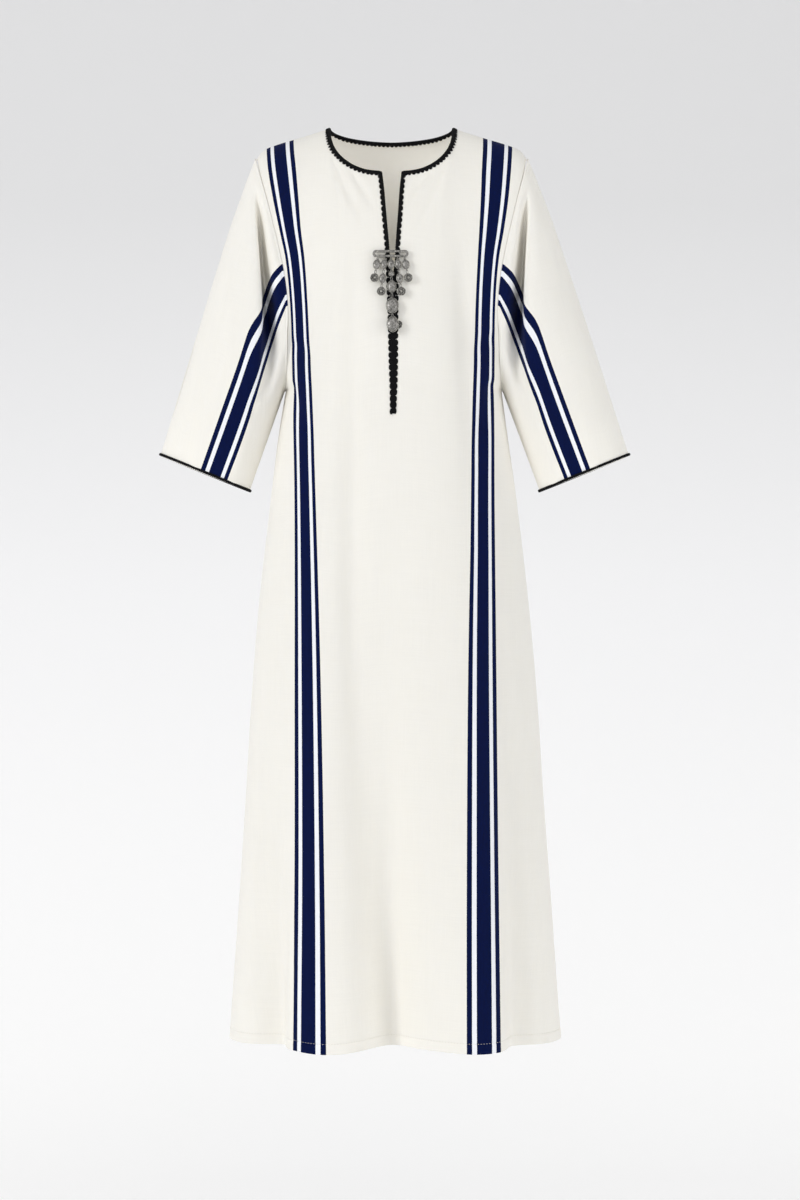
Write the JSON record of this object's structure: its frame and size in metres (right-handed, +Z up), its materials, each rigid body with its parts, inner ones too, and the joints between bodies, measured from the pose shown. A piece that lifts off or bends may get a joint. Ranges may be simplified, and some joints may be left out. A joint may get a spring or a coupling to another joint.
{
  "type": "kaftan",
  "caption": "Full-length hollow kaftan with a slit round neck, flared sleeves, side stripes, braided edges and a metal clasp with hanging drops.",
  "frame": {"origin": "midway between the two high shoulder points, where the garment hangs on its wearer", "axes": "+Z up, the front faces -Y, and +X is to the right when the front is seen"},
  "size_m": [0.7146, 0.3519, 1.3864],
  "materials": {
    "cloth": "ivory woven cloth with navy and white stripes, soft low sheen",
    "braid": "black crocheted braid, matt",
    "metal": "dark antique pewter, worn brighter on the high spots"
  },
  "bodies": {
    "garment": {"front_panel": "cloth", "back_panel": "cloth", "sleeve_left": "cloth", "sleeve_right": "cloth", "neck_braid": "braid", "cuff_braid_left": "braid", "cuff_braid_right": "braid", "clasp_bar": "metal"},
    "strand_1_outer": {"strand_1_outer": "metal"},
    "strand_1_coin": {"strand_1_coin": "metal"},
    "strand_2_inner": {"strand_2_inner": "metal"},
    "strand_2_olive": {"strand_2_olive": "metal"},
    "strand_2_coin": {"strand_2_coin": "metal"},
    "strand_3_inner": {"strand_3_inner": "metal"},
    "strand_3_seed": {"strand_3_seed": "metal"},
    "strand_3_centre": {"strand_3_centre": "metal"},
    "strand_3_large": {"strand_3_large": "metal"},
    "strand_3_last": {"strand_3_last": "metal"},
    "strand_4_inner": {"strand_4_inner": "metal"},
    "strand_4_olive": {"strand_4_olive": "metal"},
    "strand_4_coin": {"strand_4_coin": "metal"},
    "strand_5_outer": {"strand_5_outer": "metal"},
    "strand_5_coin": {"strand_5_coin": "metal"}
  },
  "joints": [
    {"name": "strand_1_outer_swing", "type": "hinge", "parent": "garment", "child": "strand_1_outer", "pos_m": [-0.0199, -0.1157, -0.20579], "axis": [-1, 0, 0], "range_deg": [0, 75]},
    {"name": "strand_1_coin_swing", "type": "hinge", "parent": "strand_1_outer", "child": "strand_1_coin", "pos_m": [-0.0229, -0.11833, -0.22452], "axis": [-1, 0, 0], "range_deg": [0, 30]},
    {"name": "strand_2_inner_swing", "type": "hinge", "parent": "garment", "child": "strand_2_inner", "pos_m": [-0.0095, -0.1157, -0.20579], "axis": [-1, 0, 0], "range_deg": [0, 75]},
    {"name": "strand_2_olive_swing", "type": "hinge", "parent": "strand_2_inner", "child": "strand_2_olive", "pos_m": [-0.0114, -0.11821, -0.22367], "axis": [-1, 0, 0], "range_deg": [0, 30]},
    {"name": "strand_2_coin_swing", "type": "hinge", "parent": "strand_2_olive", "child": "strand_2_coin", "pos_m": [-0.01364, -0.12118, -0.24479], "axis": [-1, 0, 0], "range_deg": [0, 30]},
    {"name": "strand_3_inner_swing", "type": "hinge", "parent": "garment", "child": "strand_3_inner", "pos_m": [-0.0004, -0.1157, -0.20579], "axis": [-1, 0, 0], "range_deg": [0, 75]},
    {"name": "strand_3_seed_swing", "type": "hinge", "parent": "strand_3_inner", "child": "strand_3_seed", "pos_m": [0.00008, -0.11822, -0.22376], "axis": [-1, 0, 0], "range_deg": [0, 30]},
    {"name": "strand_3_centre_swing", "type": "hinge", "parent": "strand_3_seed", "child": "strand_3_centre", "pos_m": [0.00036, -0.11972, -0.2344], "axis": [-1, 0, 0], "range_deg": [0, 30]},
    {"name": "strand_3_large_swing", "type": "hinge", "parent": "strand_3_centre", "child": "strand_3_large", "pos_m": [0.00101, -0.12318, -0.259], "axis": [-1, 0, 0], "range_deg": [0, 30]},
    {"name": "strand_3_last_swing", "type": "hinge", "parent": "strand_3_large", "child": "strand_3_last", "pos_m": [0.00183, -0.12757, -0.29023], "axis": [-1, 0, 0], "range_deg": [0, 30]},
    {"name": "strand_4_inner_swing", "type": "hinge", "parent": "garment", "child": "strand_4_inner", "pos_m": [0.0091, -0.1157, -0.20579], "axis": [-1, 0, 0], "range_deg": [0, 75]},
    {"name": "strand_4_olive_swing", "type": "hinge", "parent": "strand_4_inner", "child": "strand_4_olive", "pos_m": [0.01115, -0.11821, -0.22365], "axis": [-1, 0, 0], "range_deg": [0, 30]},
    {"name": "strand_4_coin_swing", "type": "hinge", "parent": "strand_4_olive", "child": "strand_4_coin", "pos_m": [0.01358, -0.12117, -0.24475], "axis": [-1, 0, 0], "range_deg": [0, 30]},
    {"name": "strand_5_outer_swing", "type": "hinge", "parent": "garment", "child": "strand_5_outer", "pos_m": [0.0198, -0.1157, -0.20579], "axis": [-1, 0, 0], "range_deg": [0, 75]},
    {"name": "strand_5_coin_swing", "type": "hinge", "parent": "strand_5_outer", "child": "strand_5_coin", "pos_m": [0.02313, -0.11832, -0.22447], "axis": [-1, 0, 0], "range_deg": [0, 30]}
  ]
}
